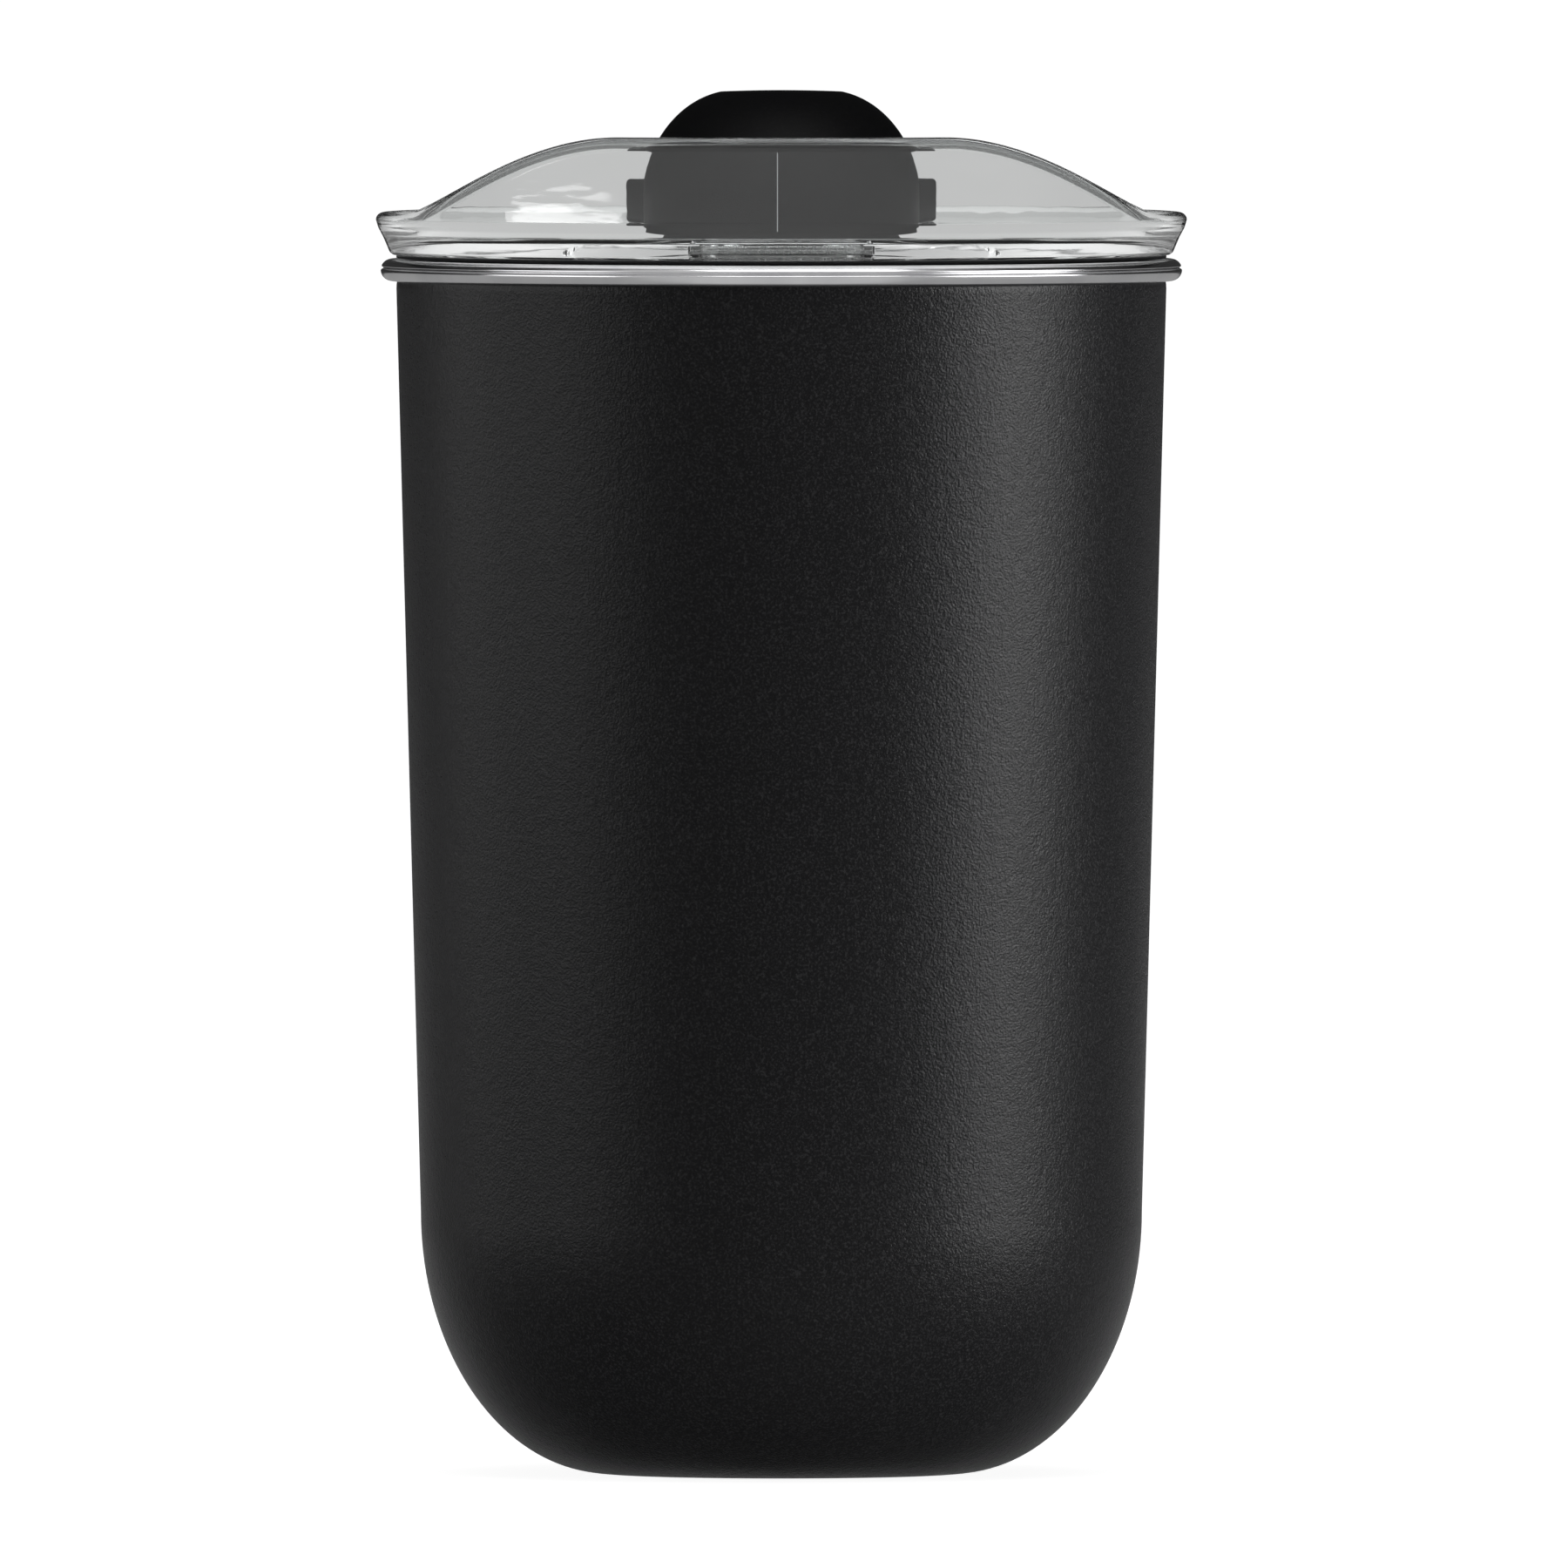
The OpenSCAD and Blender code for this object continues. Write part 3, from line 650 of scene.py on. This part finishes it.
def pegPlaces():  # the grip's two pegs go through the plate
    return [polar(grip["outR"] - grip["depth"] / 2, 90 + side * grip["pegTurn"]) for side in (-1, 1)]


def buildShutter():
    low, high, edge = shutter["low"], shutter["high"], shutter["edge"]
    piece = revolve("shutterPlate", fillet([(shutter["inR"], low, edge), (shutter["r"], low, edge),
                                            (shutter["r"], high, edge), (shutter["inR"], high, edge)], 4), 288)
    carve(piece, slotPrism(0, low - 1, high + 1))
    holes = [circle(*polar(lid["slotR"], lid["ventAngle"]), lid["ventR"])]
    holes += [circle(x, y, grip["pegR"]) for x, y in pegPlaces()]
    carve(piece, join("holes", [prism("holeTool", h, low - 1, high + 1) for h in holes]))
    fit(piece, "shutter", "clear_plastic", "shutter_disc")


def buildGrip():
    low, high = shutter["high"] + 0.01, grip["high"]
    shape = sector(grip["outR"] - grip["depth"], grip["outR"], grip["half"], 90, 0.5, 20)
    piece = bevelled(prism("shutterGrip", shape, low, high), grip["bevel"], 4)
    fit(piece, "shutter", "black_plastic", "shutter_grip")
    for x, y in pegPlaces():
        peg = bevelled(prism("gripPeg", circle(x, y, grip["pegR"] - skinGap), grip["low"], low + 0.4), 0.15, 2)
        fit(peg, "shutter", "black_plastic")


buildShutter()
buildGrip()
print("shutter built")


# ---- plunger

knob = {**place("knob_cap"), "side": 4.7, "sidePull": 4.5, "topR": 7.0, "topPullR": 5.6, "topPullZ": 1.2,
        "crown": 0.15, "chamfer": 0.85, "chamferH": 1.3}
insert = place("knob_insert")
bumper = place("knob_bumper")
rod = place("plunger_rod")
rodBore = rod["r"] + skinGap


def buildKnob():
    low, high, r = knob["low"], knob["high"], knob["r"]
    side = [(r, low + knob["side"]), (r, low + knob["side"] + knob["sidePull"]),
            (knob["topR"] + knob["topPullR"], high - knob["crown"] - knob["topPullZ"]),
            (knob["topR"], high - knob["crown"])]
    crown = [(knob["topR"] * (1 - k / 8), high - knob["crown"] * (1 - k / 8) ** 2) for k in range(1, 9)]
    under = fillet([(insert["r"], insert["high"]), (insert["r"], bumper["high"], 0.1),
                    (bumper["r"], bumper["high"], 0.1), (bumper["r"], low, 0.2), (r - knob["chamfer"], low, 0.35),
                    (r, low + knob["chamferH"], 1.0), side[0]])[:-1]
    outline = [(0.0, insert["high"])] + under + [cubic(side, k / 40) for k in range(41)] + crown
    fit(revolve("knobDome", outline, 224), "plunger", "black_plastic", "knob_cap")


def buildRod():
    low, high, r = rod["low"], rod["high"], rod["r"]
    outline = fillet([(0.0, low), (r, low, 0.35), (r, high, 0.35), (0.0, high)])
    fit(revolve("plungerRod", outline, 64), "plunger", "polished_steel", "plunger_rod")


def buildBumper():
    low, high, r = bumper["low"], bumper["high"], bumper["r"] - skinGap
    outline = fillet([(rodBore, low, 0.15), (r, low, 0.3), (r, high, 0.1), (rodBore, high, 0.1)])
    fit(revolve("knobBumper", outline, 96), "plunger", "silicone", "knob_bumper")


plate = {**place("pressure_plate"), "thick": 0.8, "lip": 0.8, "hole": 1.6, "step": 5.2, "collarR": 5.0, "rings": 5}
screen = {**place("mesh_screen"), "thick": 0.3}
cross = {**place("cross_plate"), "rimW": 2.6, "hub": 8.0, "spokes": 6, "spokeW": 3.0}
coil = {**place("edge_spring"), "wire": 0.34, "turns": 96, "perTurn": 14, "sides": 8}


def buildPressurePlate():
    low, top, r = plate["low"], plate["low"] + plate["thick"], plate["r"]
    piece = revolve("pressurePlate", fillet([(rodBore, low, 0.1), (r, low, 0.35), (r, plate["high"], 0.3),
                                             (r - plate["lip"], plate["high"], 0.3), (r - plate["lip"], top, 0.3),
                                             (rodBore, top, 0.1)]), 200)
    holes = []
    for ring in range(1, plate["rings"] + 1):
        radius = plate["collarR"] + ring * plate["step"] - plate["hole"] / 2
        for k in range(6 * ring):
            x, y = polar(radius, (k + ring / 2) * 60 / ring)
            holes.append(prism("holeTool", circle(x, y, plate["hole"], 24), low - 1, top + 1))
    carve(piece, join("holes", holes))
    fit(piece, "plunger", "brushed_steel", "pressure_plate")


def buildScreen():
    low, high, r, thick = screen["low"], screen["high"], screen["r"], screen["thick"]
    outline = fillet([(rodBore, low, 0.05), (r, low, 0.6), (r, high, 0.13), (r - thick, high, 0.13),
                      (r - thick, low + thick, 0.4), (rodBore, low + thick, 0.05)])
    fit(revolve("meshScreen", outline, 200), "plunger", "steel_mesh", "mesh_screen")


def buildCrossPlate():
    low, high, r = cross["low"], cross["high"], cross["r"]
    piece = revolve("crossPlate", fillet([(rodBore, low, 0.1), (r, low, 0.3), (r, high, 0.3),
                                          (rodBore, high, 0.1)]), 200)
    gap = 360 / cross["spokes"]
    windows = []
    for k in range(cross["spokes"]):
        half = gap / 2 - math.degrees(cross["spokeW"] / 2 / (0.55 * r))
        shape = sector(cross["hub"], r - cross["rimW"], half, gap * (k + 0.5), 1.5, 16)
        windows.append(prism("windowTool", shape, low - 1, high + 1))
    carve(piece, join("windows", windows))
    fit(bevelled(piece, 0.12, 2), "plunger", "brushed_steel", "cross_plate")


def buildSpring():  # the wire wound round a ring, closed on itself
    wire, count = coil["wire"], coil["turns"] * coil["perTurn"]
    small = (coil["high"] - coil["low"]) / 2 - wire
    big = coil["r"] - small - wire
    middle = (coil["high"] + coil["low"]) / 2

    def along(k):
        turn, wind = 2 * math.pi * k / count, 2 * math.pi * k / coil["perTurn"]
        r = big + small * math.cos(wind)
        return Vector((r * math.cos(turn), r * math.sin(turn), middle + small * math.sin(wind)))

    bm = bmesh.new()
    rings = []
    for k in range(count):
        here, turn = along(k), 2 * math.pi * k / count
        ahead = (along(k + 1) - along(k - 1)).normalized()
        core = Vector((big * math.cos(turn), big * math.sin(turn), middle))
        side = (here - core).normalized()
        side = (side - ahead * side.dot(ahead)).normalized()
        other = ahead.cross(side)
        rings.append([bm.verts.new((here + (side * math.cos(a) + other * math.sin(a)) * wire) * mm)
                      for a in (2 * math.pi * s / coil["sides"] for s in range(coil["sides"]))])
    for k in range(count):
        one, two = rings[k], rings[(k + 1) % count]
        for s in range(coil["sides"]):
            t = (s + 1) % coil["sides"]
            bm.faces.new((one[s], one[t], two[t], two[s]))
    fit(addPiece("edgeSpring", bm, 60), "plunger", "spring_steel", "edge_spring")


collar = {**place("filter_collar"), "groove": 0.5}
nut = {**place("hub_nut"), "flats": 6}


def buildCollar():
    low, high, r, middle = collar["low"], collar["high"], collar["r"], (collar["low"] + collar["high"]) / 2
    waist = r - collar["groove"]
    outline = fillet([(rodBore, low, 0.1), (r, low, 0.4), (r, middle - 0.8, 0.1), (waist, middle - 0.4, 0.2),
                      (waist, middle + 0.4, 0.2), (r, middle + 0.8, 0.1), (r, high, 0.7), (rodBore, high, 0.15)])
    fit(revolve("filterCollar", outline, 96), "plunger", "brushed_steel", "filter_collar")


def buildNut():
    piece = prism("hubNut", circle(0, 0, nut["r"], nut["flats"]), nut["low"], nut["high"])
    low, high, wide = nut["low"] - 1, nut["high"] + 1, nut["r"] + 0.3
    carve(piece, prism("boreTool", circle(0, 0, rodBore, 48), rod["low"], high))
    cone = [(0.0, low), (nut["r"] - 1.3, low), (wide, nut["low"] + 0.8), (wide, high), (0.0, high)]
    carve(piece, revolve("nutTool", cone, 96), "INTERSECT")
    fit(bevelled(piece, 0.15, 2), "plunger", "brushed_steel", "hub_nut")


buildKnob()
buildRod()
buildBumper()
buildPressurePlate()
buildScreen()
buildCrossPlate()
buildSpring()
buildCollar()
buildNut()
print("plunger built")


# ---- studio

# the floor settings here paint a contact shadow near the base, and brighter light ahead of the object and for rays
# through the lid
studio = {"centre": Vector((0.0003, 0.0, 0.0791)), "elevation": 1.4, "distance": 8.5, "lens": 1700.0,
          "sensor": 36.0, "clip": (1.0, 60.0), "floorR": 1.6, "floorDrop": 0.0002, "floorGlow": 0.4,
          "sideGlow": 0.22, "shadeR": 0.075, "paintedShadowGlow": 0.93, "throughGlow": 0.66, "backdrop": 1.05,
          "frontGlow": 0.55, "backGlow": 0.03, "roomGlow": 1.0, "panelGlow": 0.54, "gapDepth": 0.85}


def buildCamera():
    data = bpy.data.cameras.new("studioCamera")
    data.lens, data.sensor_width = studio["lens"], studio["sensor"]
    data.clip_start, data.clip_end = studio["clip"]
    camera = bpy.data.objects.new("studioCamera", data)
    rise = math.radians(studio["elevation"])
    camera.location = studio["centre"] + studio["distance"] * Vector((0, -math.cos(rise), math.sin(rise)))
    camera.rotation_euler = (math.pi / 2 - rise, 0, 0)
    bpy.context.scene.collection.objects.link(camera)
    bpy.context.scene.camera = camera


lamps = (  # name, width, height, power, azimuth from the front towards +X, elevation, distance, what it lights, shape
    ("keyRight", 0.35, 0.9, 36, 73.5, 12, 1.0, ("shellSkin",)),
    ("fillLeft", 0.4, 0.8, 3.8, -108, 8, 1.0, ("shellSkin",)),
    ("sideLeft", 0.6, 0.8, 9, -70, 8, 1.0, ("shellSkin",)),
    ("rimRight", 0.8, 0.9, 7, 72, 10, 1.0, ("linerAndRim",)),
    ("rimLeft", 0.8, 0.8, 2.8, -70, 8, 1.0, ("linerAndRim",)),
    ("underFront", 0.7, 0.5, 8.5, 3, -46, 1.0, ("shellSkin",)),
    ("behind", 1.2, 0.45, 22, 180, -20, 1.0, ("shellSkin",)),
    ("wallStrip", 0.19, 0.0045, 0.011, -61.7, 11.8, 0.296, ("lidMoulding",), "ELLIPSE"),
    ("overhead", 0.9, 0.5, 3, 10, 62, 1.2))


def softbox(name, width, height, power, azimuth, elevation, distance, only=(), shape="RECTANGLE"):
    data = bpy.data.lights.new(name, "AREA")
    data.shape, data.size, data.size_y, data.energy = shape, width, height, power
    lamp = bpy.data.objects.new(name, data)
    side, up = math.radians(azimuth), math.radians(elevation)
    away = Vector((math.sin(side) * math.cos(up), -math.cos(side) * math.cos(up), math.sin(up)))
    lamp.location = studio["centre"] + away * distance
    lamp.rotation_euler = (-away).to_track_quat("-Z", "Y").to_euler()
    lamp.visible_camera = False
    bpy.context.scene.collection.objects.link(lamp)
    if only:  # shapes one piece's highlight without glare in the others, as flags do
        lit = bpy.data.collections.new(name + "Lit")
        for piece in only:
            lit.objects.link(bpy.data.objects[piece])
        lamp.light_linking.receiver_collection = lit
        lamp.light_linking.blocker_collection = lit


def paleFloor(wire, where):  # painted light and shade: near the base the floor's glow falls off as a painted contact shadow; further out the floor is as pale as the backdrop
    r, z = ringCoordinates(wire, where)
    seen, through = wire.ray("camera"), wire.ray("through")
    # painted contact shadow: the glow the camera sees is lower near the base
    shade = r.clamp(studio["shadeR"] * 0.4, studio["shadeR"], studio["paintedShadowGlow"], studio["backdrop"])
    ahead = 0 - wire.axes(where)[1] / r
    # painted light and shade for other rays: brighter straight ahead than at the sides, and dimmer near the base
    lit = ahead.clamp(0.7, 0.92, studio["sideGlow"], studio["floorGlow"]) * r.clamp(0.02, 0.09, 0.3, 1.0)
    # rays that came through the clear lid get a brighter floor glow, painted light for the lid
    glow = seen * shade + (1 - seen) * ((1 - through) * lit + through * studio["throughGlow"])
    return {"Base Color": wire.blend(wire.noise(where, 30), (0.3, 0.3, 0.3), (0.32, 0.32, 0.32)),
            "Emission Color": wire.node("CombineColor", None, {0: glow, 1: glow, 2: glow})}


def buildFloor():
    bm = bmesh.new()
    bmesh.ops.create_circle(bm, cap_ends=True, segments=96, radius=studio["floorR"])
    floor = addPiece("studioFloor", bm)
    floor.location.z = -studio["floorDrop"]
    floor.data.materials.append(material("pale floor", {"Roughness": 0.8, "Emission Strength": 1.0}, paleFloor))


def buildWorld():
    world = bpy.data.worlds.new("studioWorld")
    world.use_nodes = True
    bpy.context.scene.world = world
    tree = world.node_tree
    wire = Wire(tree)
    x, y, z = wire.axes(wire.node("TexCoord", None, None, 0))
    seen, through = wire.ray("camera"), wire.ray("through")
    front = y.clamp(-0.35, 0.1, studio["frontGlow"], studio["backGlow"])
    gap = 1 - z.clamp(0.33, 0.36) * (1 - z.clamp(0.42, 0.45)) * studio["gapDepth"]
    passed = y.clamp(0.85, 0.995, studio["roomGlow"], studio["panelGlow"])
    level = (1 - seen) * ((1 - through) * front * gap + through * passed) + seen * studio["backdrop"]
    background = tree.nodes["Background"]
    background.inputs["Color"].default_value = (1, 1, 1, 1)
    tree.links.new(level.socket, background.inputs["Strength"])


buildCamera()
buildFloor()
buildWorld()
for lamp in lamps:
    softbox(*lamp)
paths = bpy.context.scene.cycles  # light crosses the clear lid's floor in many short bounces
paths.max_bounces = paths.transmission_bounces = 40
paths.glossy_bounces = 24
bpy.context.scene.view_settings.view_transform = "Standard"
print("studio set")
